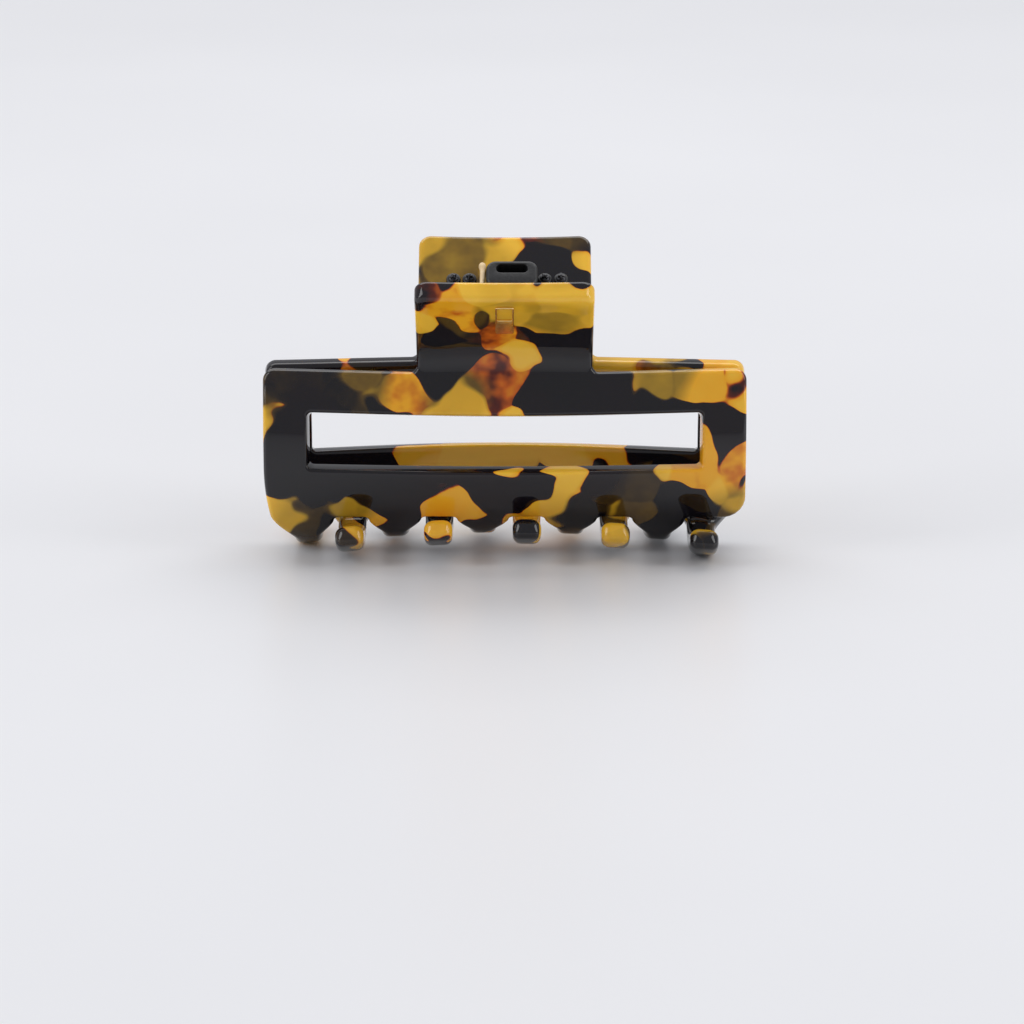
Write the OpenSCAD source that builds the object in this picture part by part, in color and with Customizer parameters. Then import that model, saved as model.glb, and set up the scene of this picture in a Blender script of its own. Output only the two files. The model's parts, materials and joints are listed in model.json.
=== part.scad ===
// Hair claw clip: two identical curved acetate jaws that face each other, joined above the teeth
// by a sprung hinge. X runs along the jaws, the front jaw is on the -Y side, +Z is up.
// The origin is the middle of the footprint, on the surface that the teeth stand on.

/* [Jaw outline] */
// Width of a jaw along the hinge
jaw_w = 80; // [76:1:100]
// Thickness of the acetate
wall = 3.4; // [2.8:0.1:4.2]
// Height of the bar above the window, along the surface
top_bar_h = 6.9; // [6:0.1:9]
// Height of the window, along the surface
window_h = 9.6; // [7:0.1:12]
// Width of the bars beside the window
side_bar_w = 7.3; // [4:0.1:8]
// Height of the bar below the window, down to the gaps between the teeth
low_bar_h = 9.4; // [7.5:0.1:10.5]
// Radius of the upper corners
corner_r = 1.8; // [1:0.1:2.4]
// Radius of the lower corner that has no tooth
low_corner_r = 4; // [2:0.1:4.4]
// Radius of the window's corners
window_r = 0.8; // [0.6:0.1:2]

/* [Handle] */
// Width of a handle
handle_w = 29; // [26:0.1:36]
// Length of a handle's flat part
handle_len = 15.2; // [13:0.1:18]
// Lean of a handle away from upright, in degrees
handle_lean = 50; // [46:1:54]
// Radius of the handle's corners
handle_r = 2.2; // [1:0.1:3]
// Depth of the shallow hollow in the handle's top edge
handle_dip = 0.4; // [0:0.1:0.8]
// Radius of the inner corner between handle and shoulder
fillet_r = 1.2; // [0.5:0.1:2]

/* [Teeth] */
// Width of a tooth
tooth_w = 4.7; // [3.8:0.1:5.8]
// Distance between neighbouring teeth of one jaw
tooth_pitch = 14.6; // [14:0.1:15]
// Length of a tooth below the gaps, along the surface
tooth_len = 23; // [18:0.1:25]
// Width of the flat top of the gap between two teeth
gap_w = 5.4; // [5.2:0.1:7]
// Length over which a tooth's root narrows
root_len = 5.4; // [4:0.1:7]
// Radius of a tooth's corners
tip_r = 1.1; // [0.4:0.1:1.6]

/* [Form] */
// Gap between the two jaws at the neck, where the handles begin
neck_gap = 7; // [6.4:0.1:9]
// Gap between the two jaws at their ends
end_gap = 0.9; // [0.6:0.1:2]
// Radius of the bulging body at the middle of the jaw
body_arc_r = 22; // [20:0.5:25]
// Inner radius of the curl into the teeth at the middle of the jaw
curl_r = 9.6; // [8.6:0.1:10.6]
// Radius of the teeth past the curl
tooth_arc_r = 17.5; // [16:0.5:30]

/* [Hinge] */
// Diameter of the hinge pin
pin_d = 2; // [1.6:0.1:2.4]
// Radial clearance of the pin in the ears
pin_clear = 0.04; // [0.02:0.01:0.08]
// Wall of an ear around the pin
ear_wall = 1.3; // [0.9:0.1:1.5]
// Thickness of an ear
ear_t = 2.2; // [1.6:0.1:2.6]
// Gap between neighbouring ears
ear_gap = 0.4; // [0.3:0.1:0.8]
// Height of the pin above the neck
pin_rise = 3.7; // [3.2:0.1:4.2]

/* [Bracket] */
// Width of a bracket
bracket_w = 22; // [20:0.5:25]
// Thickness of the bracket's plate
plate_t = 1; // [0.8:0.1:1.2]
// Distance from the handle's top edge to the plate
plate_top = 11.5; // [10:0.1:12]
// Length of the plate along the handle
plate_len = 7.2; // [6:0.1:7.6]
// Width of the stop block
block_w = 8.6; // [7:0.1:9]
// Height of the stop block above the handle's face
block_h = 4.5; // [3.5:0.1:5]
// Width of the notch in the stop block
notch_w = 5.2; // [3:0.1:6]
// Radius of a screw lug
lug_r = 1.2; // [1:0.1:1.3]
// Diameter of a screw's shank
screw_d = 1; // [0.8:0.1:1.2]

/* [Spring] */
// Diameter of the spring wire
wire_d = 0.85; // [0.6:0.05:0.95]
// Number of turns
spring_turns = 7; // [4:1:7]
// Length of the space that the spring fills between the ears
spring_w = 8.4; // [7.6:0.1:9]

/* [Badge] */
// Width of the plain metal badge
badge_w = 3; // [2:0.1:4]
// Length of the badge along the handle
badge_len = 9; // [5:0.1:10]
// Thickness of the badge
badge_t = 0.35; // [0.2:0.05:0.5]

/* [Hidden] */
$fn = 48;

tortoise = [0.16, 0.09, 0.04];
nylon = [0.06, 0.06, 0.07];
steel = [0.7, 0.7, 0.72];
spring_steel = [0.86, 0.78, 0.6];
gold = [0.83, 0.62, 0.22];

// Distances along the surface, measured down from the neck
tooth_count = 5;
shoulder_s = 1.5;
window_top_s = shoulder_s + top_bar_h;
window_low_s = window_top_s + window_h;
gap_s = window_low_s + low_bar_h;
tip_s = gap_s + tooth_len;
root_s = gap_s + root_len;
// Length of the bend from the flat handle to the neck
neck_bend = 5;
handle_top_s = -neck_bend - handle_len;

// Sections through a jaw, each a chain of [length, turn in degrees] arcs down from the neck.
// The middle section bulges out most; the end section bulges less and curls more tightly.
lean_in = 27;
lean_arc = 5;
body_turn = lean_in + 20;
body_arc = body_arc_r * body_turn * PI / 180;
curl_turn = 70;
curl_arc = (curl_r + wall) * curl_turn * PI / 180;
mid_rest = tip_s - lean_arc - body_arc - curl_arc;
mid_chain = [[lean_arc, -lean_in], [body_arc, body_turn], [curl_arc, curl_turn],
             [mid_rest, mid_rest / tooth_arc_r * 180 / PI]];
end_curl_r = 4.6 + wall;
end_lean = 18;
// How much lower the end section reaches than the middle one
end_drop = 2.4;
low_turn = 90 - curl_turn;
end_lean_drop = lean_arc * 180 / PI / end_lean * sin(end_lean);
end_curl_drop = end_curl_r * (1 - sin(low_turn));
end_body_r = (mid_height(mid_chain) + end_drop - end_lean_drop - end_curl_drop)
             / (sin(end_lean) + sin(low_turn));
end_body_arc = end_body_r * (end_lean + low_turn) * PI / 180;
end_curl_arc = end_curl_r * curl_turn * PI / 180;
end_rest = tip_s - lean_arc - end_body_arc - end_curl_arc;
end_chain = [[lean_arc, -end_lean], [end_body_arc, end_lean + low_turn], [end_curl_arc, curl_turn],
             [end_rest, end_rest / tooth_arc_r * 180 / PI]];
mid_y = -neck_gap / 2 - wall;
end_y = -end_gap / 2 - wall;

// Drop of the middle section from the neck to its lowest point
function mid_height(chain) = -walk(chain, chain[0][0] + chain[1][0] + chain[2][0])[1];

// One arc of a chain: the point after going len along it while the slope turns by turn
function arc_end(p, slope, len, turn) = turn == 0
    ? p + len * [sin(slope), -cos(slope)]
    : p + len * 180 / PI / turn
        * [cos(slope) - cos(slope + turn), sin(slope) - sin(slope + turn)];

// Point and slope at distance d down a chain, as [y, z, slope], from a neck at [0, 0]
function walk(chain, d, i = 0, p = [0, 0], slope = 0) =
    let (len = chain[i][0], turn = chain[i][1])
    d <= len || i == len(chain) - 1
        ? concat(arc_end(p, slope, d, turn * d / len), [slope + turn * d / len])
        : walk(chain, d - len, i + 1, arc_end(p, slope, len, turn), slope + turn);

// The same going up the handle: a bend, then straight
function climb(d) =
    let (bend = min(d, neck_bend), turn = handle_lean * bend / neck_bend,
         r = neck_bend * 180 / PI / handle_lean, flat = d - bend)
    [-r * (1 - cos(turn)) - flat * sin(handle_lean), r * sin(turn) + flat * cos(handle_lean), turn];

function section(chain, s) = s < 0 ? climb(-s) : walk(chain, s);

function smooth(t) = let (c = max(0, min(1, t))) c * c * (3 - 2 * c);

// Share of the end section at a place across the jaw; the handle stays flat
function below_handle(s) = smooth((s + neck_bend) / (neck_bend + shoulder_s));
function end_share(x, s) = let (r = min(1, abs(x) / (jaw_w / 2)))
    r * r * (1.5 - 0.5 * r * r) * below_handle(s);
// How fast that share grows across the jaw
function share_slope(x, s) = let (r = min(1, abs(x) / (jaw_w / 2)))
    sign(x) * (3 * r - 2 * r * r * r) * below_handle(s) * 2 / jaw_w;

// Point of the jaw at x across, s down and depth h into the wall, with the neck at z = 0.
// The wall's depth leans inwards where the jaw turns back towards its ends.
function raw_skin(x, s, h) =
    let (m = section(mid_chain, s), e = section(end_chain, s), k = end_share(x, s),
         pm = [mid_y + m[0] + h * cos(m[2]), m[1] + h * sin(m[2])],
         pe = [end_y + e[0] + h * cos(e[2]), e[1] + h * sin(e[2])],
         p = (1 - k) * pm + k * pe,
         turn_back = (end_y + e[0] - mid_y - m[0]) * share_slope(x, s))
    [x - h * turn_back * cos(m[2]), p[0], p[1]];

tooth_shift = -tooth_pitch / 4;
function tooth_x(i) = tooth_shift + tooth_pitch * (i - (tooth_count - 1) / 2);

// Grid lines of the outline: the upper ones follow the window and handle, the lower ones the teeth
window_x = jaw_w / 2 - side_bar_w;
handle_x = handle_w / 2;
function spread(a, b, n) = [for (i = [1 : n]) a + (b - a) * i / n];
half_upper = concat(spread(0, handle_x - handle_r, 5), [handle_x + fillet_r],
                    spread(handle_x + fillet_r, window_x - window_r, 6), [window_x],
                    [(window_x + jaw_w / 2 - corner_r) / 2, jaw_w / 2 - corner_r, jaw_w / 2]);
upper_cols = concat([for (i = [len(half_upper) - 1 : -1 : 0]) -half_upper[i]], [0], half_upper);
root_half = (tooth_pitch - gap_w) / 2;
function half_at(s) = tooth_w / 2 + (root_half - tooth_w / 2) * (1 - smooth((s - gap_s) / root_len));
left_start = -jaw_w / 2 + 0.4;
function left_at(s) = let (goal = tooth_x(0) - tooth_w / 2)
    left_start + (goal - left_start) * smooth((s - gap_s + 2) / (root_len + 3));
function tooth_left(i, s) = i == 0 ? left_at(s) : tooth_x(i) - half_at(s);
function tooth_cols(i, s) = let (a = tooth_left(i, s), b = tooth_x(i) + half_at(s),
                                 n = i == 0 ? 5 : 4)
    concat([a], spread(a, b, n));
function lower_cols(s) = concat(
    [for (i = [0 : tooth_count - 1]) each concat(tooth_cols(i, s),
        i < tooth_count - 1 ? [(tooth_x(i) + tooth_x(i + 1)) / 2] : [])],
    [(tooth_x(4) + root_half + jaw_w / 2 - low_corner_r) / 2, jaw_w / 2 - low_corner_r, jaw_w / 2]);
function col_x(j, s) =
    s <= window_low_s ? upper_cols[j]
    : s >= gap_s ? lower_cols(s)[j]
    : let (t = (s - window_low_s) / (gap_s - window_low_s))
      upper_cols[j] * (1 - t * t) + lower_cols(gap_s)[j] * t * t;
col_n = len(upper_cols) - 1;
// First cell of the handle and of the window, counted from either side
window_cell = 3;
handle_cell = 10;

// Rows of the grid, from the handle's top down to the tips
row_groups = [
    concat([handle_top_s], spread(handle_top_s, handle_top_s + handle_r, 2),
           spread(handle_top_s + handle_r, -neck_bend, 3),
           spread(-neck_bend, shoulder_s - fillet_r, 4), [shoulder_s - fillet_r / 3]),
    concat([shoulder_s], [shoulder_s + corner_r], spread(shoulder_s + corner_r, window_top_s - 1, 2)),
    [window_top_s],
    concat([window_top_s + window_r], spread(window_top_s + window_r, window_low_s - window_r, 3)),
    [window_low_s],
    concat(spread(window_low_s, gap_s - low_corner_r, 2), [gap_s - low_corner_r / 2]),
    [gap_s],
    spread(gap_s, root_s, 4),
    spread(root_s, tip_s - tip_r, 8),
    [tip_s]];
rows = [for (g = row_groups) each g];
row_n = len(rows) - 1;

// Rounds the corner of a region: a and b run from 0 inside to 1 at its two edges
function round_ab(a, b) = [a * sqrt(1 - b * b / 2), b * sqrt(1 - a * a / 2)];
function rounded(x, s, edge_x, edge_s, r, side) =
    let (a = (abs(x) - edge_x + r) / r, b = (s - edge_s) * side / r + 1)
    a > 0 && b > 0 && a <= 1.001 && b <= 1.001
        ? let (q = round_ab(min(a, 1), min(b, 1)))
          [sign(x) * (edge_x - r + q[0] * r), edge_s + side * (q[1] - 1) * r]
        : [x, s];

// Flat place of grid point j, i, with every corner rounded
function flat(j, i) =
    let (s = rows[i], x = col_x(j, s))
    s < shoulder_s - 0.001
        ? let (edge = (abs(x) > handle_x - handle_r / 2) ? handle_edge(s) : abs(x),
               p = rounded(sign(x) * edge, s, handle_x, handle_top_s, handle_r, -1))
          [p[0], p[1] + handle_dip * (1 - pow(p[0] / handle_x, 2))
                 * smooth((shoulder_s - s) / (shoulder_s - handle_top_s))]
        : s <= window_top_s - 0.001 ? rounded(x, s, jaw_w / 2, shoulder_s, corner_r, -1)
        : s <= window_low_s + 0.001
            ? let (p = rounded(x, s, window_x, window_top_s, window_r, -1))
              rounded(p[0], p[1], window_x, window_low_s, window_r, 1)
        : s <= gap_s + 0.001 && x > 0 ? rounded(x, s, jaw_w / 2, gap_s, low_corner_r, 1)
        : s > tip_s - tip_r - 0.001 ? tip_flat(x, s)
        : [x, s];
function handle_edge(s) = let (t = max(0, (s - shoulder_s + fillet_r) / fillet_r))
    handle_x + fillet_r * (1 - sqrt(max(0, 1 - t * t)));
function tip_flat(x, s) =
    let (near = [for (i = [0 : tooth_count - 1])
                 if (abs(x - tooth_x(i)) < tooth_pitch / 2 - 1) tooth_x(i)],
         c = len(near) > 0 ? near[0] : x,
         p = rounded(x - c, s, tooth_w / 2, tip_s, tip_r, 1))
    [c + p[0], p[1]];

// Which cells of the grid hold acetate
function tooth_cell(j) = j < 5 || (j >= 7 && j < 29 && (j - 7) % 6 < 4);
function filled(j, i) = j < 0 || j >= col_n || i < 0 || i >= row_n ? false
    : let (s = (rows[i] + rows[i + 1]) / 2)
      s < shoulder_s ? j >= handle_cell && j < col_n - handle_cell
    : s > window_top_s && s < window_low_s ? j < window_cell || j >= col_n - window_cell
    : s > gap_s ? tooth_cell(j)
    : true;

// Both skins of a jaw, and the height of the neck that stands its lowest tooth at z = 0
flat_points = [for (i = [0 : row_n]) for (j = [0 : col_n]) flat(j, i)];
outer_skin = [for (p = flat_points) raw_skin(p[0], p[1], 0)];
inner_skin = [for (p = flat_points) raw_skin(p[0], p[1], wall)];
layer = (row_n + 1) * (col_n + 1);
function at(j, i) = i * (col_n + 1) + j;
cells = [for (i = [0 : row_n - 1]) for (j = [0 : col_n - 1]) if (filled(j, i)) [j, i]];
neck_z = -min([for (c = cells) for (p = [at(c[0], c[1]), at(c[0] + 1, c[1]), at(c[0], c[1] + 1),
                                          at(c[0] + 1, c[1] + 1)]) outer_skin[p][2]]);
function quad(a, b, c, d) = [[a, b, c], [a, c, d]];
function rim(a, b) = quad(b, a, a + layer, b + layer);
jaw_faces = [for (c = cells) let (j = c[0], i = c[1],
        p = at(j, i), q = at(j + 1, i), r = at(j + 1, i + 1), t = at(j, i + 1))
    each concat(quad(p, q, r, t), quad(p + layer, t + layer, r + layer, q + layer),
        filled(j, i - 1) ? [] : rim(p, q), filled(j + 1, i) ? [] : rim(q, r),
        filled(j, i + 1) ? [] : rim(r, t), filled(j - 1, i) ? [] : rim(t, p))];

// The handle's inner face as a frame in the Y-Z plane: q runs down it from its top edge and
// h rises from it towards the other jaw
handle_top = let (p = raw_skin(0, handle_top_s, wall)) [p[1], p[2] + neck_z];
down = [sin(handle_lean), -cos(handle_lean)];
rise = [cos(handle_lean), sin(handle_lean)];
pin_at = [0, neck_z + pin_rise];
pin_q = (pin_at - handle_top) * down;
pin_h = (pin_at - handle_top) * rise;

// Places along X: the ears of one bracket fill the gaps beside the ears of the other
bore_r = pin_d / 2 + pin_clear;
ear_r = bore_r + ear_wall;
inner_ear = spring_w / 2 + ear_gap;
outer_ear = inner_ear + ear_t + ear_gap;
pin_len = 2 * (outer_ear + ear_t + 0.4);
lug_t = plate_t + 0.3;
lug_q = plate_top - 1;
lug_shift = -0.4;
lug_x = [for (side = [-1, 1]) for (k = [0, 1])
         lug_shift + side * (inner_ear + ear_t / 2 + 0.6 + k * 2.7)];
screw_head_r = lug_r - 0.35;
screw_head_t = 0.35;
screw_depth = 2.2;
block_q = plate_top - 2.4;
block_len = 5.8;
notch_len = 2.8;
notch_floor = 1.5;
coil_r = pin_d / 2 + 0.15 + wire_d;
leg_gap = 0.25;
leg_x = spring_w / 2 - wire_d / 2;
block_x = leg_x - wire_d / 2 - leg_gap;
leg_tip = [plate_top - 4.1, 0.75];
badge_q = 2.8;

module across(x0, w) translate([x0, 0, 0]) rotate([90, 0, 90]) linear_extrude(w) children();
module on_handle() translate(handle_top) rotate(handle_lean - 90) children();
module turned() rotate([0, 0, 180]) children();
module along_x(x0, w, r) translate([x0, pin_at[0], pin_at[1]]) rotate([0, 90, 0])
    cylinder(r = r, h = w);
// A round piece standing on the handle's face, from height h0 to h0 + len
module standing(x, q, h0, len, r)
    let (foot = handle_top + q * down + h0 * rise)
    translate([x, foot[0], foot[1]]) rotate([-90 + handle_lean, 0, 0]) cylinder(r = r, h = len);

module jaw() translate([0, 0, neck_z])
    polyhedron(points = concat(outer_skin, inner_skin), faces = jaw_faces);

module ear(x0) across(x0, ear_t) {
    translate(pin_at) circle(r = ear_r);
    on_handle() polygon([[plate_top + 1.6, plate_t / 2], [plate_top + plate_len - 0.2, plate_t / 2],
                         [pin_q, pin_h - ear_r], [pin_q, pin_h + ear_r]]);
}

module stop_block() difference() {
    across(-block_w + block_x, block_w) on_handle() translate([block_q, 0])
        polygon([[0, 0], [block_len, 0], [block_len, block_h - 1], [block_len - 1, block_h],
                 [0.6, block_h], [0, block_h - 0.6]]);
    across(-block_w / 2 + block_x - notch_w / 2, notch_w) on_handle()
        translate([block_q - 1, notch_floor]) square([notch_len + 1, block_h]);
}

module bracket() difference() {
    union() {
        across(-bracket_w / 2, bracket_w) on_handle() translate([plate_top, 0])
            square([plate_len, plate_t]);
        for (x = lug_x) standing(x, lug_q, 0, lug_t, lug_r);
        stop_block();
        ear(-outer_ear - ear_t);
        ear(inner_ear);
    }
    along_x(-outer_ear - ear_t - 1, 2 * (outer_ear + ear_t + 1), bore_r);
    for (x = lug_x) standing(x, lug_q, -1, lug_t + 2, screw_d / 2 + 0.05);
}

module screws() for (x = lug_x) {
    standing(x, lug_q, -screw_depth, screw_depth + lug_t + screw_head_t / 2, screw_d / 2);
    standing(x, lug_q, lug_t, screw_head_t, screw_head_r);
}

// A leg leaves the coil at a tangent and rests on the handle above its bracket
leg_reach = leg_tip - [pin_q, pin_h];
leg_angle = atan2(leg_reach[1], leg_reach[0]) + 360 - acos(coil_r / norm(leg_reach));
leg_out = norm(leg_reach) * sin(acos(coil_r / norm(leg_reach)));
// The same angle about the pin, measured from +Y
leave = leg_angle + handle_lean - 90;

// The wire's middle line as [x, y, z, radius, angle of the wire's normal about X]: turns about
// the pin that end at leg_x, then the straight leg with a rounded bulb at its tip
coil_steps = 16;
function turn_line(turns, x0) = [for (k = [0 : ceil(turns * coil_steps)])
    let (t = k / ceil(turns * coil_steps), a = leave - 360 * turns * (1 - t))
    [x0 + (leg_x - x0) * t, coil_r * cos(a), coil_r * sin(a), wire_d / 2, a]];
bulb = [[-1.3, 1], [-0.9, 1.25], [-0.45, 1.45], [0, 1.35], [0.35, 0.9], [0.5, 0.3]];
leg_line = [for (b = bulb) let (d = leg_out + b[0])
    [leg_x, coil_r * cos(leave) - d * sin(leave), coil_r * sin(leave) + d * cos(leave),
     wire_d / 2 * b[1], leave]];
wire_facets = 8;
module wire(line) {
    n = len(line);
    points = [for (c = line) for (m = [0 : wire_facets - 1]) let (t = 360 * m / wire_facets)
        [c[0] + c[3] * sin(t), c[1] + c[3] * cos(t) * cos(c[4]), c[2] + c[3] * cos(t) * sin(c[4])]];
    sides = [for (k = [0 : n - 2]) for (m = [0 : wire_facets - 1])
        let (m2 = (m + 1) % wire_facets, a = k * wire_facets, b = a + wire_facets)
        each quad(a + m, a + m2, b + m2, b + m)];
    ends = [[for (m = [wire_facets - 1 : -1 : 0]) m],
            [for (m = [0 : wire_facets - 1]) (n - 1) * wire_facets + m]];
    translate([0, pin_at[0], pin_at[1]]) polyhedron(points = points, faces = concat(sides, ends));
}
// The spring is one wire on the real clip; its last turn and front leg turn with the front jaw
coil_gap = 0.1;
coil_start = -leg_x + wire_d + coil_gap;
end_turn = 0.8;

module front_jaw() color(tortoise) jaw();
module rear_jaw() color(tortoise) turned() jaw();
module front_bracket() color(nylon) bracket();
module rear_bracket() color(nylon) turned() bracket();
module front_screws() color(steel) screws();
module rear_screws() color(steel) turned() screws();
module hinge_pin() color(steel) along_x(-pin_len / 2, pin_len, pin_d / 2);
module torsion_spring() color(spring_steel) turned()
    wire(concat(turn_line(spring_turns, coil_start), leg_line));
module spring_front_leg() color(spring_steel) wire(concat(turn_line(end_turn, leg_x), leg_line));
module badge() color(gold) across(-badge_w / 2, badge_w) on_handle()
    translate([badge_q, -wall - badge_t]) square([badge_len, badge_t]);

front_jaw();
rear_jaw();
front_bracket();
rear_bracket();
front_screws();
rear_screws();
hinge_pin();
torsion_spring();
spring_front_leg();
badge();
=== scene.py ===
# Looks of a hair claw clip: polished tortoiseshell jaws, black nylon hinge brackets, small dark
# screws, a cream sprung hinge and a plain gold badge. Sizes are in millimetres until a mesh is
# placed. On a jaw, x runs across, s runs down the surface from the neck, and h goes into the wall.
import json
import math
import bmesh
import bpy
import numpy as np
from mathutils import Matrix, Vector, geometry


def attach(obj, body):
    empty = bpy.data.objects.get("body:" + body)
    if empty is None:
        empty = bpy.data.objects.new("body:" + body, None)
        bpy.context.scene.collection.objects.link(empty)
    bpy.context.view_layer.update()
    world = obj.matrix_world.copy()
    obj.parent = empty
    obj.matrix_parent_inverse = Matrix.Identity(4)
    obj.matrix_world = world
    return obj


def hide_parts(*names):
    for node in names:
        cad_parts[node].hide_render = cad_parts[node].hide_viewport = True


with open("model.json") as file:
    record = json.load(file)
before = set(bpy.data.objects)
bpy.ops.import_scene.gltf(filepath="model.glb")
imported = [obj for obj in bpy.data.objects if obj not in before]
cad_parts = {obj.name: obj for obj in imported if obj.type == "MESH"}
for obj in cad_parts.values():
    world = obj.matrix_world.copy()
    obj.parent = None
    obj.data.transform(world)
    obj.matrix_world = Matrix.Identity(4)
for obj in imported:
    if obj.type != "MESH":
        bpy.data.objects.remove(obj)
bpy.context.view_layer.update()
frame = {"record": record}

MM = 0.001
JAW_WIDTH = 80.0
WALL = 3.4
SHOULDER = 1.5
WINDOW_TOP = 8.4
WINDOW_LOW = 18.0
WINDOW_SIDE = 32.7
WINDOW_R = 0.8
WINDOW_EDGE_R = 0.55
CORNER_R = 1.8
LOW_CORNER_R = 4.0
GAP = 27.4
GAP_R = 1.0
TIP = 50.4
TIP_R = 1.75
NECK_BEND = 5.0
HANDLE_TOP = -20.2
HANDLE_SIDE = 14.5
HANDLE_R = 2.2
HANDLE_DIP = 0.4
FILLET_R = 1.2
LEAN = 50.0
TOOTH_WIDTH = 4.7
TOOTH_PITCH = 14.6
ROOT_LEN = 5.4
ROOT_HALF = 4.6
TEETH = [TOOTH_PITCH * (i - 2) - TOOTH_PITCH / 4 for i in range(5)]
LEFT_START = -39.6
MID_Y = -6.9
END_Y = -3.85
TOP_LEN = 5.0
MID_LEAN = 27.0
LOW_SLOPE = 20.0
BODY_R = 22.0
CURL_R = 13.0
CURL_TURN = 70.0
END_CURL_R = 8.0
END_LEAN = 18.0
END_DROP = 2.4
TOOTH_ARC_R = 17.5
PIN_RISE = 3.7
PIN_D = 2.0
PIN_LEN = 19.6
PIN_Q = 22.4965
PIN_H = 1.8229
EAR_R = 2.34
BORE_R = 1.04
EAR_T = 2.2
EARS = [-9.4, 4.6]
PLATE_W = 22.0
PLATE_TOP = 11.5
PLATE_LEN = 7.2
PLATE_T = 1.0
LUGS = [-9.4, -6.7, 5.9, 8.6]
LUG_Q = 10.5
LUG_R = 1.2
LUG_T = 1.3
BLOCK_X = -1.2
BLOCK_W = 8.6
BLOCK_Q = 9.1
# Short on its lower side, so that the two blocks stay clear when the handles meet
BLOCK_LEN = 5.2
BLOCK_H = 4.4
NOTCH_W = 5.2
NOTCH_LEN = 1.7
NOTCH_RIM = 0.85
WIRE_D = 0.85
COIL_R = 2.0
COIL_TURNS = 7
COIL_START = -2.825
LEG_X = 3.775
LEG_OUT = 15.0
LEG_AWAY = 61.66
# Badge and the opening of its frame: left side, top, width, height, corner radius
BADGE_BOX = (-1.5, 2.8, 3.0, 9.0, 0.35)
BADGE_HOLE = (-1.2, 3.1, 2.4, 4.1, 0.25)
BADGE_T = 0.35
# Longest side of a jaw's outline, spacing of the points inside it, longest side elsewhere
OUTLINE_STEP = 0.5
GRID = 0.55
LONG_STEP = 9.0

PIN_Z = frame["record"]["behaviour"]["joints"][0]["pos_m"][2] / MM
NECK_Z = PIN_Z - PIN_RISE


# ---------------------------------------------------------------- camera

def place_camera():
    """Looks at the front jaw from a little above, with a long lens."""
    aim = Vector((0.0012, 0.0, 0.0060))
    rise = math.radians(15.5)
    away = 0.68
    data = bpy.data.cameras.new("camera")
    data.lens = 142.8
    data.sensor_width = 36.0
    data.clip_start = 0.01
    camera = bpy.data.objects.new("camera", data)
    camera.location = aim + away * Vector((0.0, -math.cos(rise), math.sin(rise)))
    camera.rotation_euler = (math.pi / 2 - rise, 0.0, 0.0)
    bpy.context.scene.collection.objects.link(camera)
    bpy.context.scene.camera = camera


# ---------------------------------------------------------------- materials

def new_material(name):
    """An empty node tree with a Principled shader, and its coordinates."""
    material = bpy.data.materials.new(name)
    material.use_nodes = True
    tree = material.node_tree
    tree.nodes.clear()
    output = tree.nodes.new("ShaderNodeOutputMaterial")
    shader = tree.nodes.new("ShaderNodeBsdfPrincipled")
    tree.links.new(shader.outputs[0], output.inputs["Surface"])
    coords = tree.nodes.new("ShaderNodeTexCoord")
    return material, tree, shader, coords.outputs["Object"]


def noise(tree, where, scale, detail=2.0, roughness=0.5):
    """A noise texture at the given coordinates."""
    node = tree.nodes.new("ShaderNodeTexNoise")
    node.inputs["Scale"].default_value = scale
    node.inputs["Detail"].default_value = detail
    node.inputs["Roughness"].default_value = roughness
    tree.links.new(where, node.inputs["Vector"])
    return node


def ramp(tree, value, stops):
    """Colour of a value from 0 to 1, by (place, colour) stops."""
    node = tree.nodes.new("ShaderNodeValToRGB")
    ends = node.color_ramp.elements
    while len(ends) < len(stops):
        ends.new(0.5)
    for end, (place, colour) in zip(ends, stops):
        end.position = place
        end.color = (*colour, 1.0)
    tree.links.new(value, node.inputs["Fac"])
    return node.outputs["Color"]


def spread(tree, value, low, high):
    """A value from 0 to 1 spread over the range low to high."""
    node = tree.nodes.new("ShaderNodeMapRange")
    node.inputs["To Min"].default_value = low
    node.inputs["To Max"].default_value = high
    tree.links.new(value, node.inputs["Value"])
    return node.outputs["Result"]


def bump(tree, shader, height, strength, distance):
    """Fine relief on a shader, from a height."""
    node = tree.nodes.new("ShaderNodeBump")
    node.inputs["Strength"].default_value = strength
    node.inputs["Distance"].default_value = distance
    tree.links.new(height, node.inputs["Height"])
    tree.links.new(node.outputs["Normal"], shader.inputs["Normal"])


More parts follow.
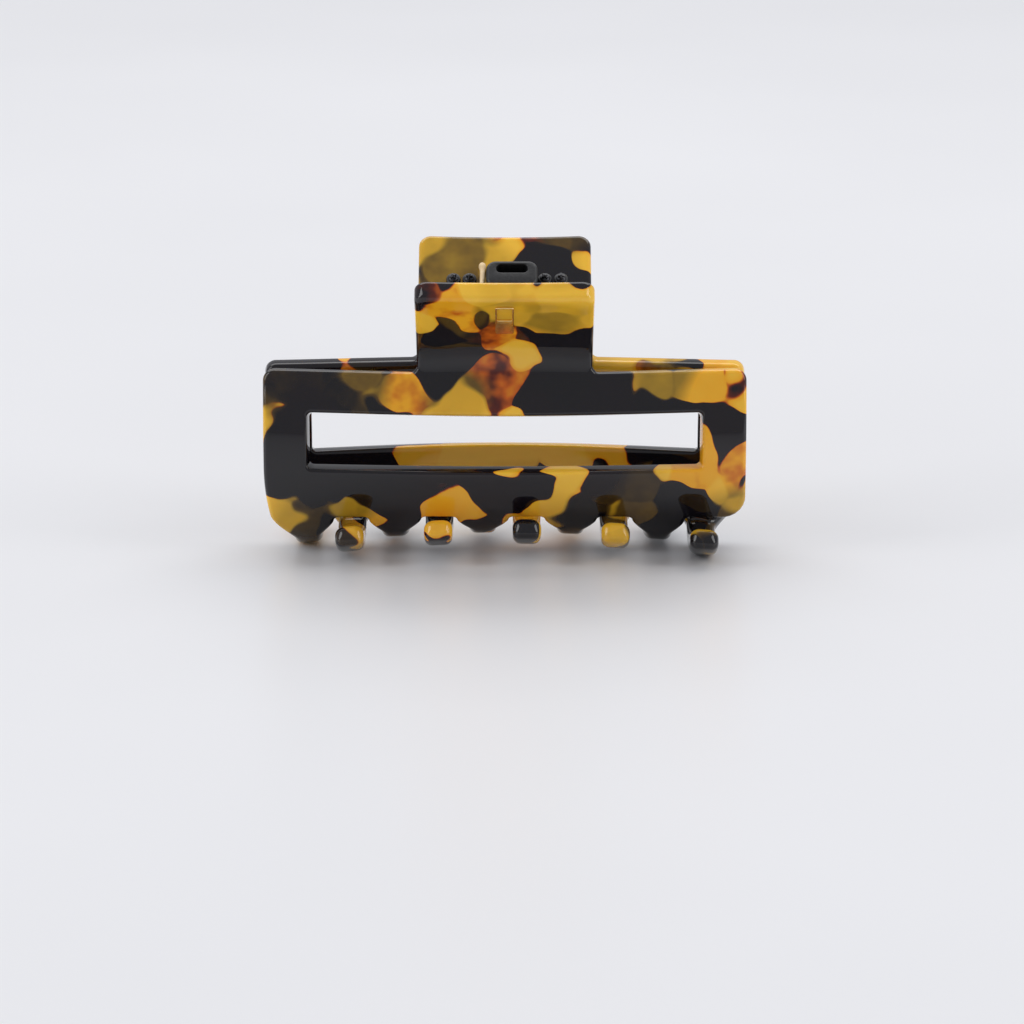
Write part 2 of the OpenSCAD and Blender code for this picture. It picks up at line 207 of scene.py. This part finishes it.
def tortoiseshell():
    """Near-black acetate with golden patches. Patches near the surface have sharp edges with a
    red-brown fringe; deeper ones are soft and olive."""
    material, tree, shader, where = new_material("tortoiseshell_acetate")
    drift = noise(tree, where, 120.0, 1.0)
    shift = tree.nodes.new("ShaderNodeVectorMath")
    shift.operation = "MULTIPLY_ADD"
    shift.inputs[1].default_value = (0.010, 0.010, 0.010)
    tree.links.new(drift.outputs["Color"], shift.inputs[0])
    tree.links.new(where, shift.inputs[2])
    chips = tree.nodes.new("ShaderNodeTexVoronoi")
    chips.feature = "SMOOTH_F1"
    chips.inputs["Scale"].default_value = 125.0
    chips.inputs["Smoothness"].default_value = 0.25
    tree.links.new(shift.outputs[0], chips.inputs["Vector"])
    split = tree.nodes.new("ShaderNodeSeparateColor")
    tree.links.new(chips.outputs["Color"], split.inputs[0])
    cloud = noise(tree, where, 260.0, 2.0, 0.5)
    blend = tree.nodes.new("ShaderNodeMix")
    blend.inputs["Factor"].default_value = 0.12
    tree.links.new(split.outputs[0], blend.inputs["A"])
    tree.links.new(cloud.outputs["Fac"], blend.inputs["B"])
    crisp = ramp(tree, blend.outputs["Result"], [
        (0.00, (0.007, 0.006, 0.009)),
        (0.505, (0.010, 0.006, 0.008)),
        (0.525, (0.110, 0.012, 0.004)),
        (0.545, (0.600, 0.120, 0.005)),
        (0.575, (0.900, 0.420, 0.016)),
        (0.78, (0.950, 0.560, 0.050))])
    soft = ramp(tree, blend.outputs["Result"], [
        (0.38, (0.007, 0.006, 0.008)),
        (0.53, (0.110, 0.062, 0.012)),
        (0.65, (0.440, 0.260, 0.022)),
        (0.82, (0.780, 0.440, 0.030))])
    deep = noise(tree, where, 75.0, 0.0)
    depth = ramp(tree, deep.outputs["Fac"], [(0.50, (0, 0, 0)), (0.62, (1, 1, 1))])
    colour = tree.nodes.new("ShaderNodeMix")
    colour.data_type = "RGBA"
    tree.links.new(depth, colour.inputs["Factor"])
    tree.links.new(crisp, colour.inputs["A"])
    tree.links.new(soft, colour.inputs["B"])
    tree.links.new(colour.outputs["Result"], shader.inputs["Base Color"])
    haze = noise(tree, where, 900.0, 3.0)
    tree.links.new(spread(tree, haze.outputs["Fac"], 0.03, 0.09), shader.inputs["Roughness"])
    shader.inputs["IOR"].default_value = 1.49
    shader.inputs["Subsurface Weight"].default_value = 0.15
    shader.inputs["Subsurface Radius"].default_value = (1.0, 0.45, 0.08)
    shader.inputs["Subsurface Scale"].default_value = 0.001
    ripple = noise(tree, where, 60.0, 1.0)
    bump(tree, shader, ripple.outputs["Fac"], 0.06, 0.0006)
    return material


def plain_finish(name, dark, light, grain, rough, metal=0.0, dent=0.0):
    """A finish whose colour and roughness vary finely between two limits."""
    material, tree, shader, where = new_material(name)
    speck = noise(tree, where, grain, 3.0)
    colour = ramp(tree, speck.outputs["Fac"], [(0.3, dark), (0.7, light)])
    tree.links.new(colour, shader.inputs["Base Color"])
    tree.links.new(spread(tree, speck.outputs["Fac"], *rough), shader.inputs["Roughness"])
    shader.inputs["Metallic"].default_value = metal
    if dent:
        bump(tree, shader, speck.outputs["Fac"], dent, 0.0001)
    return material


# ---------------------------------------------------------------- shape of a jaw

def arc_end(start, slope, length, turn):
    """End of an arc that starts at a slope, in degrees, and turns by turn over its length."""
    a = math.radians(slope)
    if turn == 0:
        return start[0] + length * math.sin(a), start[1] - length * math.cos(a)
    b = math.radians(slope + turn)
    r = length / math.radians(turn)
    return start[0] + r * (math.cos(a) - math.cos(b)), start[1] + r * (math.sin(a) - math.sin(b))


def walk(chain, d):
    """Point and slope at distance d down a chain of (length, turn) arcs."""
    point = (0.0, 0.0)
    slope = 0.0
    for i, (length, turn) in enumerate(chain):
        if d <= length or i == len(chain) - 1:
            end = arc_end(point, slope, d, turn * d / length)
            return end[0], end[1], slope + turn * d / length
        point = arc_end(point, slope, length, turn)
        slope += turn
        d -= length


def make_sections():
    """The bulging section at the middle of a jaw, and the flatter one at its ends."""
    body = BODY_R * math.radians(MID_LEAN + LOW_SLOPE)
    curl = CURL_R * math.radians(CURL_TURN)
    rest = TIP - TOP_LEN - body - curl
    middle = [(TOP_LEN, -MID_LEAN), (body, MID_LEAN + LOW_SLOPE), (curl, CURL_TURN),
              (rest, math.degrees(rest / TOOTH_ARC_R))]
    drop = -walk(middle, TOP_LEN + body + curl)[1]
    lean = math.radians(END_LEAN)
    low = math.radians(LOW_SLOPE)
    drop += END_DROP - TOP_LEN / lean * math.sin(lean) - END_CURL_R * (1 - math.sin(low))
    bulge = drop / (math.sin(lean) + math.sin(low)) * (lean + low)
    bend = END_CURL_R * math.radians(CURL_TURN)
    rest = TIP - TOP_LEN - bulge - bend
    ends = [(TOP_LEN, -END_LEAN), (bulge, END_LEAN + LOW_SLOPE), (bend, CURL_TURN),
            (rest, math.degrees(rest / TOOTH_ARC_R))]
    return middle, ends


MIDDLE, ENDS = make_sections()


def climb(d):
    """Point and slope at distance d up the handle: a bend, then flat."""
    bend = min(d, NECK_BEND)
    turn = LEAN * bend / NECK_BEND
    r = NECK_BEND / math.radians(LEAN)
    flat = d - bend
    t = math.radians(turn)
    lean = math.radians(LEAN)
    return (-r * (1 - math.cos(t)) - flat * math.sin(lean),
            r * math.sin(t) + flat * math.cos(lean), turn)


def section(chain, s):
    """Point and slope at s, which is negative on the handle."""
    return climb(-s) if s < 0 else walk(chain, s)


def smooth(t):
    """A soft step from 0 to 1 as t goes from 0 to 1."""
    c = max(0.0, min(1.0, t))
    return c * c * (3 - 2 * c)


def skin(x, s, h):
    """Place of a jaw's point, in metres."""
    m = section(MIDDLE, s)
    e = section(ENDS, s)
    r = min(1.0, abs(x) * 2 / JAW_WIDTH)
    below = smooth((s + NECK_BEND) / (NECK_BEND + SHOULDER))
    k = r * r * (1.5 - 0.5 * r * r) * below
    tm = math.radians(m[2])
    te = math.radians(e[2])
    y = (1 - k) * (MID_Y + m[0] + h * math.cos(tm)) + k * (END_Y + e[0] + h * math.cos(te))
    z = (1 - k) * (m[1] + h * math.sin(tm)) + k * (e[1] + h * math.sin(te))
    grows = math.copysign(3 * r - 2 * r ** 3, x) * below * 2 / JAW_WIDTH
    x -= h * (END_Y + e[0] - MID_Y - m[0]) * grows * math.cos(tm)
    return x * MM, y * MM, (z + NECK_Z) * MM


def half_tooth(s):
    """Half the width of a tooth, which flares at its root."""
    return TOOTH_WIDTH / 2 + (ROOT_HALF - TOOTH_WIDTH / 2) * (1 - smooth((s - GAP) / ROOT_LEN))


def left_edge(s):
    """The slanted outer edge of the first tooth, from the window's sill down."""
    goal = TEETH[0] - TOOTH_WIDTH / 2
    lower = LEFT_START + (goal - LEFT_START) * smooth((max(s, GAP) - GAP + 2) / (ROOT_LEN + 3))
    if s >= GAP:
        return lower
    t = (s - WINDOW_LOW) / (GAP - WINDOW_LOW)
    return -JAW_WIDTH / 2 * (1 - t * t) + lower * t * t


def round_off(corners):
    """A closed loop through corners (x, s, radius), each rounded by its radius."""
    loop = []
    count = len(corners)
    for i, (x, s, r) in enumerate(corners):
        here = Vector((x, s))
        if r == 0:
            loop.append(here)
            continue
        back = (Vector(corners[i - 1][:2]) - here).normalized()
        ahead = (Vector(corners[(i + 1) % count][:2]) - here).normalized()
        half = math.acos(max(-1, min(1, back.dot(ahead)))) / 2
        cut = r / math.tan(half)
        centre = here + (back + ahead).normalized() * (r / math.sin(half))
        a = here + back * cut - centre
        b = here + ahead * cut - centre
        steps = max(3, int(a.angle(b) / math.radians(12)))
        for j in range(steps + 1):
            spin = (a.lerp(b, j / steps)).normalized() * r
            loop.append(centre + spin)
    return loop


def even_out(loop, step):
    """The same loop with no side longer than step."""
    dense = []
    for i, a in enumerate(loop):
        b = loop[(i + 1) % len(loop)]
        if (b - a).length < 1e-4:
            continue
        parts = max(1, math.ceil((b - a).length / step))
        dense.extend(a.lerp(b, j / parts) for j in range(parts))
    return dense


def jaw_outline():
    """Outline of a jaw laid flat: handle, shoulders, right side, teeth from right to left."""
    side = JAW_WIDTH / 2
    corners = [(-HANDLE_SIDE, SHOULDER, FILLET_R), (-HANDLE_SIDE, HANDLE_TOP, HANDLE_R)]
    corners += [(HANDLE_SIDE, HANDLE_TOP, HANDLE_R), (HANDLE_SIDE, SHOULDER, FILLET_R)]
    corners += [(side, SHOULDER, CORNER_R), (side, GAP, LOW_CORNER_R)]
    flank = [1.3, 2.0, 2.7, 3.4, 4.1, 4.8, ROOT_LEN]
    for i in reversed(range(5)):
        x = TEETH[i]
        corners.append((x + ROOT_HALF, GAP, GAP_R))
        corners += [(x + half_tooth(GAP + d), GAP + d, 0) for d in flank]
        corners += [(x + TOOTH_WIDTH / 2, TIP, TIP_R), (x - TOOTH_WIDTH / 2, TIP, TIP_R)]
        if i:
            corners += [(x - half_tooth(GAP + d), GAP + d, 0) for d in reversed(flank)]
            corners.append((x - ROOT_HALF, GAP, GAP_R))
    lowest = GAP + ROOT_LEN + 1
    drop = lowest - WINDOW_LOW
    steps = 24
    for j in range(steps + 1):
        s = lowest - drop * j / steps
        corners.append((left_edge(s), s, 0))
    corners.append((-side, SHOULDER, CORNER_R))
    return even_out(round_off(corners), OUTLINE_STEP)


def window_outline():
    """Outline of the window, laid flat."""
    r = WINDOW_R
    corners = [(-WINDOW_SIDE, WINDOW_TOP, r), (-WINDOW_SIDE, WINDOW_LOW, r),
               (WINDOW_SIDE, WINDOW_LOW, r), (WINDOW_SIDE, WINDOW_TOP, r)]
    return even_out(round_off(corners), OUTLINE_STEP)


def edge_radius(s):
    """Polished edge: larger on the teeth, whose ends are nearly domed."""
    return 0.85 + 0.45 * smooth((s - GAP - 1) / 6)


def inside(points, loops):
    """Which points lie between the loops, by counting crossings."""
    x = points[:, 0]
    s = points[:, 1]
    odd = np.zeros(len(points), bool)
    for loop in loops:
        for i, b in enumerate(loop):
            a = loop[i - 1]
            over = (a[1] > s) != (b[1] > s)
            if a[1] != b[1]:
                odd ^= over & (x < (b[0] - a[0]) * (s - a[1]) / (b[1] - a[1]) + a[0])
    return odd


def inward(loop, hole):
    """Unit direction into the material at each point of a loop."""
    area = sum(loop[i - 1].cross(p) for i, p in enumerate(loop))
    flip = math.copysign(1, area) * (-1 if hole else 1)
    ways = []
    for i, here in enumerate(loop):
        along = (loop[(i + 1) % len(loop)] - loop[i - 1]).normalized()
        ways.append(Vector((-along.y, along.x)) * flip)
    return ways


def fill_points(edges, rim, grid):
    """Staggered points between the loops, none too near an edge."""
    low = rim.min(0)
    high = rim.max(0)
    rows = np.arange(low[1], high[1], grid)
    cols = np.arange(low[0], high[0], grid)
    points = np.array([(x + (grid / 2 if j % 2 else 0), y)
                       for j, y in enumerate(rows) for x in cols])
    points = points[inside(points, edges)]
    near = np.array([np.min(np.sum((rim - p) ** 2, 1)) for p in points])
    return points[near > (0.55 * grid) ** 2]


def rolled_slab(loops, thick, radius, place, grid=0.0, turns=4):
    """Places and faces of a closed slab with rolled edges. The first loop is its outline, the
    others are holes, each with its own edge radius; place puts a point (u, v, depth) where it
    belongs."""
    radii = [[r(p.y) if callable(r) else r for p in loop] for loop, r in zip(loops, radius)]
    ways = [inward(loop, i > 0) for i, loop in enumerate(loops)]
    edges = [[p + w * r for p, w, r in zip(*three)] for three in zip(loops, ways, radii)]
    flat = [p for edge in edges for p in edge]
    if grid:
        flat += [Vector(p) for p in fill_points(edges, np.array(flat), grid)]
    bounds = []
    first = 0
    for edge in edges:
        bounds += [(first + i, first + (i + 1) % len(edge)) for i in range(len(edge))]
        first += len(edge)
    flat, _, triangles, _, _, _ = geometry.delaunay_2d_cdt(flat, bounds, [], 0, 1e-6)
    centres = np.array([sum((flat[i] for i in t), Vector((0, 0))) / 3 for t in triangles])
    triangles = [t for t, k in zip(triangles, inside(centres, edges)) if k]
    count = len(flat)
    places = [place(p.x, p.y, 0) for p in flat] + [place(p.x, p.y, thick) for p in flat]
    faces = list(triangles) + [tuple(i + count for i in reversed(t)) for t in triangles]
    first = 0
    for loop, way, rolls in zip(loops, ways, radii):
        size = len(loop)
        levels = [list(range(first, first + size))]
        for back, j in [(0, j) for j in reversed(range(turns))] + [(1, j) for j in range(turns)]:
            angle = math.pi / 2 * j / turns
            levels.append(list(range(len(places), len(places) + size)))
            for p, w, r in zip(loop, way, rolls):
                q = p + w * (r * (1 - math.cos(angle)))
                depth = r * (1 - math.sin(angle))
                places.append(place(q.x, q.y, thick - depth if back else depth))
        levels.append([i + count for i in range(first, first + size)])
        for a, b in zip(levels, levels[1:]):
            for i in range(size):
                j = (i + 1) % size
                faces.append((a[i], a[j], b[j], b[i]))
        first += size
    return places, faces


def mesh_of(name, *slabs):
    """One mesh from the places and faces of several closed shapes."""
    places = []
    faces = []
    for part_places, part_faces in slabs:
        start = len(places)
        places += part_places
        faces += [tuple(i + start for i in face) for face in part_faces]
    mesh = bpy.data.meshes.new(name)
    mesh.from_pydata(places, [], faces)
    tidy_mesh(mesh)
    return mesh


def dip(x, s):
    """Shallow hollow in the handle's top edge, which fades out at the shoulders."""
    if s > SHOULDER:
        return s
    across = min(1.0, abs(x) / HANDLE_SIDE)
    return s + HANDLE_DIP * (1 - across ** 2) * smooth((SHOULDER - s) / (SHOULDER - HANDLE_TOP))


def jaw_mesh(name):
    """A whole jaw: wall, window, teeth and handle, with polished edges."""
    loops = [jaw_outline(), window_outline()]
    return mesh_of(name, rolled_slab(loops, WALL, [edge_radius, WINDOW_EDGE_R],
                                     lambda x, s, h: skin(x, dip(x, s), h), GRID, 5))


def tidy_mesh(mesh):
    """Drops loose points, merges doubles, turns faces outward and shades them smooth."""
    shape = bmesh.new()
    shape.from_mesh(mesh)
    bmesh.ops.remove_doubles(shape, verts=shape.verts, dist=1e-7)
    loose = [v for v in shape.verts if not v.link_faces]
    bmesh.ops.delete(shape, geom=loose, context="VERTS")
    bmesh.ops.recalc_face_normals(shape, faces=shape.faces)
    for face in shape.faces:
        face.smooth = True
    shape.to_mesh(mesh)
    shape.free()


def new_piece(name, mesh, material):
    piece = bpy.data.objects.new(name, mesh)
    bpy.context.scene.collection.objects.link(piece)
    mesh.materials.clear()
    mesh.materials.append(material)
    return piece


def half_turned(mesh, name):
    """A copy of a mesh turned by half a turn about the upright axis."""
    copy = mesh.copy()
    copy.name = name
    for v in copy.vertices:
        v.co = (-v.co.x, -v.co.y, v.co.z)
    return copy


# ---------------------------------------------------------------- hinge pieces

def handle_point(x, q, h):
    """A point on the front handle, in metres: q down from its top edge, h above its inner face."""
    lean = math.radians(LEAN)
    top = skin(0, HANDLE_TOP, WALL)
    return Vector((x * MM,
                   top[1] + (q * math.sin(lean) + h * math.cos(lean)) * MM,
                   top[2] + (-q * math.cos(lean) + h * math.sin(lean)) * MM))


def circle(x, y, r, steps=32):
    turns = [2 * math.pi * i / steps for i in range(steps)]
    return [Vector((x + r * math.cos(a), y + r * math.sin(a))) for a in turns]


def box_loop(x, y, width, height, r):
    """A rounded box from its corner, its size and its corner radius."""
    return even_out(round_off([(x, y, r), (x + width, y, r), (x + width, y + height, r),
                               (x, y + height, r)]), LONG_STEP)


def bracket_mesh(name):
    """Moulded bracket: plate, four screw lugs, two ears on the pin and a hollow stop block."""
    plate = [box_loop(-PLATE_W / 2, PLATE_TOP, PLATE_W, PLATE_LEN, 0.8)]
    slabs = [rolled_slab(plate, PLATE_T, [0.25], handle_point)]
    for x in LUGS:
        slabs.append(rolled_slab([circle(x, LUG_Q, LUG_R)], LUG_T, [0.35], handle_point))
    arc = [math.radians(90 - 180 * i / 16) for i in range(17)]
    ear = [(PLATE_TOP + 1.6, 0.5, 0.4)]
    ear += [(PIN_Q + EAR_R * math.cos(a), PIN_H + EAR_R * math.sin(a), 0) for a in arc]
    ear.append((PLATE_TOP + PLATE_LEN - 0.2, 0.5, 0.4))
    loops = [even_out(round_off(ear), LONG_STEP), circle(PIN_Q, PIN_H, BORE_R)]
    for x0 in EARS:
        slabs.append(rolled_slab(loops, EAR_T, [0.25, 0.15],
                                 lambda q, h, x: handle_point(x0 + x, q, h)))
    block = [box_loop(BLOCK_X - BLOCK_W / 2, BLOCK_Q, BLOCK_W, BLOCK_LEN, 1.6),
             box_loop(BLOCK_X - NOTCH_W / 2, BLOCK_Q + NOTCH_RIM, NOTCH_W, NOTCH_LEN, 0.7)]
    slabs.append(rolled_slab(block, BLOCK_H, [0.6, 0.2], handle_point))
    return mesh_of(name, *slabs)


def pin_mesh(name):
    """Hinge pin with rounded ends."""
    def place(y, z, x):
        return (x - PIN_LEN / 2) * MM, y * MM, (PIN_Z + z) * MM
    return mesh_of(name, rolled_slab([circle(0, 0, PIN_D / 2, 40)], PIN_LEN, [0.35], place))


def badge_mesh(name):
    """Plain metal badge: a filled lower part and a thin open frame above it."""
    loops = [box_loop(*BADGE_BOX), box_loop(*BADGE_HOLE)]
    return mesh_of(name, rolled_slab(loops, BADGE_T, [0.1, 0.08],
                                     lambda x, q, h: handle_point(x, q, -WALL - h)))


# ---------------------------------------------------------------- screws and spring wire

def start_tree(name, sizes):
    """A geometry tree with named inputs for its sizes."""
    tree = bpy.data.node_groups.new(name, "GeometryNodeTree")
    tree.interface.new_socket("Path", in_out="INPUT", socket_type="NodeSocketGeometry")
    for label, value in sizes.items():
        socket = tree.interface.new_socket(label, in_out="INPUT", socket_type="NodeSocketFloat")
        socket.default_value = value
    tree.interface.new_socket("Result", in_out="OUTPUT", socket_type="NodeSocketGeometry")
    return tree, tree.nodes.new("NodeGroupInput").outputs


def end_tree(tree, shape, material):
    """Every tree ends with real geometry, smooth, in its material."""
    real = tree.nodes.new("GeometryNodeRealizeInstances")
    even = tree.nodes.new("GeometryNodeSetShadeSmooth")
    paint = tree.nodes.new("GeometryNodeSetMaterial")
    paint.inputs["Material"].default_value = material
    tree.links.new(shape, real.inputs["Geometry"])
    tree.links.new(real.outputs["Geometry"], even.inputs["Geometry"])
    tree.links.new(even.outputs["Geometry"], paint.inputs["Geometry"])
    tree.links.new(paint.outputs["Geometry"], tree.nodes.new("NodeGroupOutput").inputs["Result"])


def vector_of(tree, x, y, z):
    """A vector whose parts are sockets or numbers."""
    node = tree.nodes.new("ShaderNodeCombineXYZ")
    for i, part in enumerate((x, y, z)):
        if isinstance(part, (int, float)):
            node.inputs[i].default_value = part
        else:
            tree.links.new(part, node.inputs[i])
    return node.outputs["Vector"]


def screw_tree(material):
    """A domed, cross-slotted head on a round shank, one at each point, each turned differently."""
    tree, sizes = start_tree("small_screws", {
        "Head Radius": 0.85 * MM, "Slot Length": 1.1 * MM, "Slot Width": 0.26 * MM,
        "Slot Depth": 0.5 * MM, "Shank Radius": 0.5 * MM, "Shank Length": 6.0 * MM,
        "Lean": math.radians(LEAN - 90)})
    ball = tree.nodes.new("GeometryNodeMeshUVSphere")
    ball.inputs["Segments"].default_value = 24
    ball.inputs["Rings"].default_value = 12
    tree.links.new(sizes["Head Radius"], ball.inputs["Radius"])
    dome = tree.nodes.new("GeometryNodeTransform")
    dome.inputs["Scale"].default_value = (1, 1, 0.5)
    tree.links.new(ball.outputs["Mesh"], dome.inputs["Geometry"])
    cut = tree.nodes.new("GeometryNodeMeshBoolean")
    cut.operation = "DIFFERENCE"
    tree.links.new(dome.outputs["Geometry"], cut.inputs["Mesh 1"])
    for way in ((sizes["Slot Length"], sizes["Slot Width"]),
                (sizes["Slot Width"], sizes["Slot Length"])):
        slot = tree.nodes.new("GeometryNodeMeshCube")
        tree.links.new(vector_of(tree, *way, sizes["Slot Depth"]), slot.inputs["Size"])
        lift = tree.nodes.new("GeometryNodeTransform")
        tree.links.new(slot.outputs["Mesh"], lift.inputs["Geometry"])
        tree.links.new(vector_of(tree, 0, 0, sizes["Slot Depth"]), lift.inputs["Translation"])
        tree.links.new(lift.outputs["Geometry"], cut.inputs["Mesh 2"])
    shank = tree.nodes.new("GeometryNodeMeshCylinder")
    shank.inputs["Vertices"].default_value = 20
    tree.links.new(sizes["Shank Radius"], shank.inputs["Radius"])
    tree.links.new(sizes["Shank Length"], shank.inputs["Depth"])
    sink = tree.nodes.new("GeometryNodeTransform")
    sink.inputs["Translation"].default_value = (0, 0, -1.75 * MM)
    sink.inputs["Scale"].default_value = (1, 1, 0.55)
    tree.links.new(shank.outputs["Mesh"], sink.inputs["Geometry"])
    whole = tree.nodes.new("GeometryNodeJoinGeometry")
    tree.links.new(cut.outputs["Mesh"], whole.inputs["Geometry"])
    tree.links.new(sink.outputs["Geometry"], whole.inputs["Geometry"])
    each = tree.nodes.new("GeometryNodeInstanceOnPoints")
    tree.links.new(sizes["Path"], each.inputs["Points"])
    tree.links.new(whole.outputs["Geometry"], each.inputs["Instance"])
    tree.links.new(vector_of(tree, sizes["Lean"], 0, 0), each.inputs["Rotation"])
    index = tree.nodes.new("GeometryNodeInputIndex")
    turn = tree.nodes.new("ShaderNodeMath")
    turn.operation = "MULTIPLY"
    turn.inputs[1].default_value = 0.7
    tree.links.new(index.outputs["Index"], turn.inputs[0])
    spin = tree.nodes.new("GeometryNodeRotateInstances")
    tree.links.new(each.outputs["Instances"], spin.inputs["Instances"])
    tree.links.new(vector_of(tree, 0, 0, turn.outputs[0]), spin.inputs["Rotation"])
    end_tree(tree, spin.outputs["Instances"], material)
    return tree


def wire_tree(material):
    """Round wire along a path, thicker where the path's swell is more than one."""
    tree, sizes = start_tree("spring_wire", {"Wire Radius": WIRE_D / 2 * MM})
    line = tree.nodes.new("GeometryNodeMeshToCurve")
    tree.links.new(sizes["Path"], line.inputs["Mesh"])
    ring = tree.nodes.new("GeometryNodeCurvePrimitiveCircle")
    ring.inputs["Resolution"].default_value = 16
    tree.links.new(sizes["Wire Radius"], ring.inputs["Radius"])
    swell = tree.nodes.new("GeometryNodeInputNamedAttribute")
    swell.data_type = "FLOAT"
    swell.inputs["Name"].default_value = "swell"
    wire = tree.nodes.new("GeometryNodeCurveToMesh")
    wire.inputs["Fill Caps"].default_value = True
    tree.links.new(line.outputs["Curve"], wire.inputs["Curve"])
    tree.links.new(ring.outputs["Curve"], wire.inputs["Profile Curve"])
    tree.links.new(swell.outputs["Attribute"], wire.inputs["Scale"])
    end_tree(tree, wire.outputs["Mesh"], material)
    return tree


def grow(name, tree, mesh, sizes=()):
    """Runs a tree on a mesh of points or edges and keeps the result as plain mesh."""
    piece = bpy.data.objects.new(name, mesh)
    bpy.context.scene.collection.objects.link(piece)
    growth = piece.modifiers.new("growth", "NODES")
    growth.node_group = tree
    for socket in tree.interface.items_tree:
        if socket.item_type == "SOCKET" and socket.name in dict(sizes):
            growth[socket.identifier] = dict(sizes)[socket.name]
    graph = bpy.context.evaluated_depsgraph_get()
    graph.update()
    grown = bpy.data.meshes.new_from_object(piece.evaluated_get(graph))
    grown.name = name
    piece.modifiers.clear()
    piece.data = grown
    return piece


def wire_path(name, turns, start):
    """Middle line of the spring wire: turns about the pin, then a straight leg with a bulb."""
    away = math.radians(LEG_AWAY)
    steps = math.ceil(turns * 28)
    points = []
    swells = []
    for i in range(steps + 1):
        t = i / steps
        a = away - 2 * math.pi * turns * (1 - t)
        points.append((start + (LEG_X - start) * t, COIL_R * math.cos(a), COIL_R * math.sin(a)))
        swells.append(1.0)
    bulb = [(-10.0, 1.0), (-5.0, 1.0), (-1.5, 1.0), (-1.2, 1.08), (-0.9, 1.25), (-0.6, 1.4),
            (-0.3, 1.45), (0.0, 1.35), (0.2, 1.15), (0.35, 0.85), (0.45, 0.5), (0.5, 0.2)]
    for along, swell in bulb:
        d = LEG_OUT + along
        points.append((LEG_X, COIL_R * math.cos(away) - d * math.sin(away),
                       COIL_R * math.sin(away) + d * math.cos(away)))
        swells.append(swell)
    mesh = bpy.data.meshes.new(name)
    mesh.from_pydata([(x * MM, y * MM, (PIN_Z + z) * MM) for x, y, z in points],
                     [(i, i + 1) for i in range(len(points) - 1)], [])
    mesh.attributes.new("swell", "FLOAT", "POINT").data.foreach_set("value", swells)
    return mesh


# ---------------------------------------------------------------- stage

def light(name, place, aim, size, power):
    """A white rectangular light, facing its aim."""
    data = bpy.data.lights.new(name, "AREA")
    data.shape = "RECTANGLE"
    data.size = size[0]
    data.size_y = size[1]
    data.energy = power
    lamp = bpy.data.objects.new(name, data)
    lamp.location = place
    lamp.rotation_euler = (Vector(aim) - Vector(place)).to_track_quat("-Z", "Y").to_euler()
    bpy.context.scene.collection.objects.link(lamp)


def set_stage():
    """Pale floor, a wide light above and behind, two weak side lights and a pale sky."""
    floor_mesh = bpy.data.meshes.new("floor")
    reach = 6.0
    floor_mesh.from_pydata([(-reach, -reach, 0), (reach, -reach, 0), (reach, reach, 0),
                            (-reach, reach, 0)], [], [(0, 1, 2, 3)])
    floor = new_piece("floor", floor_mesh,
                      plain_finish("floor_paper", (0.805, 0.808, 0.828), (0.835, 0.838, 0.858),
                                   4.0, (0.30, 0.38)))
    light("top_light", (0.0, 0.62, 0.95), (0, 0, 0.02), (1.7, 0.8), 9.2)
    light("left_light", (-0.9, -0.25, 0.5), (0, 0, 0.02), (0.35, 0.8), 3.2)
    light("right_light", (0.9, -0.25, 0.5), (0, 0, 0.02), (0.35, 0.8), 2.8)
    world = bpy.data.worlds.new("studio")
    world.use_nodes = True
    world.node_tree.nodes["Background"].inputs[0].default_value = (0.92, 0.93, 0.98, 1.0)
    world.node_tree.nodes["Background"].inputs[1].default_value = 0.45
    bpy.context.scene.world = world
    bpy.context.scene.view_settings.view_transform = "Standard"


place_camera()
set_stage()
acetate = tortoiseshell()
nylon = plain_finish("black_nylon", (0.010, 0.010, 0.011), (0.022, 0.022, 0.024), 2600.0,
                     (0.35, 0.5), dent=0.3)
dark_steel = plain_finish("dark_steel", (0.035, 0.035, 0.038), (0.075, 0.075, 0.08), 3000.0,
                          (0.25, 0.4), metal=1.0)
cream_wire = plain_finish("cream_wire", (0.80, 0.56, 0.28), (0.88, 0.68, 0.40), 2400.0,
                          (0.28, 0.42), dent=0.2)
gold = plain_finish("gold_plate", (1.00, 0.66, 0.20), (1.00, 0.80, 0.38), 1800.0,
                    (0.18, 0.30), metal=1.0)


def finish_piece(piece, body, node):
    """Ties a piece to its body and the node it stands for."""
    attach(piece, body)
    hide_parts(node)


def both_sides(stem, mesh, material, node):
    """The front piece and its half-turned twin on the rear jaw."""
    twin = half_turned(mesh, "rear_" + stem)
    finish_piece(new_piece("front_" + stem, mesh, material), "front", "front_" + node)
    finish_piece(new_piece("rear_" + stem, twin, material), "rear", "rear_" + node)


both_sides("jaw_shell", jaw_mesh("front_jaw_shell"), acetate, "jaw")
both_sides("hinge_bracket", bracket_mesh("front_hinge_bracket"), nylon, "bracket")

lug_tops = bpy.data.meshes.new("lug_tops")
lug_tops.from_pydata([handle_point(x, LUG_Q, LUG_T) for x in LUGS], [], [])
screws = grow("screw_set", screw_tree(dark_steel), lug_tops, [("Head Radius", 0.84 * MM)])
screw_mesh = screws.data
bpy.data.objects.remove(screws)
both_sides("screw_set", screw_mesh, dark_steel, "screws")

wire = wire_tree(cream_wire)
leg = grow("spring_leg", wire, wire_path("spring_leg_path", 0.8, LEG_X))
finish_piece(leg, "front", "spring_front_leg")
coil = grow("spring_coil", wire, half_turned(wire_path("coil_path", COIL_TURNS, COIL_START),
                                             "rear_coil_path"))
finish_piece(coil, "rear", "torsion_spring")
finish_piece(new_piece("pin", pin_mesh("pin"), dark_steel), "rear", "hinge_pin")
finish_piece(new_piece("plain_badge", badge_mesh("plain_badge"), gold), "front", "badge")
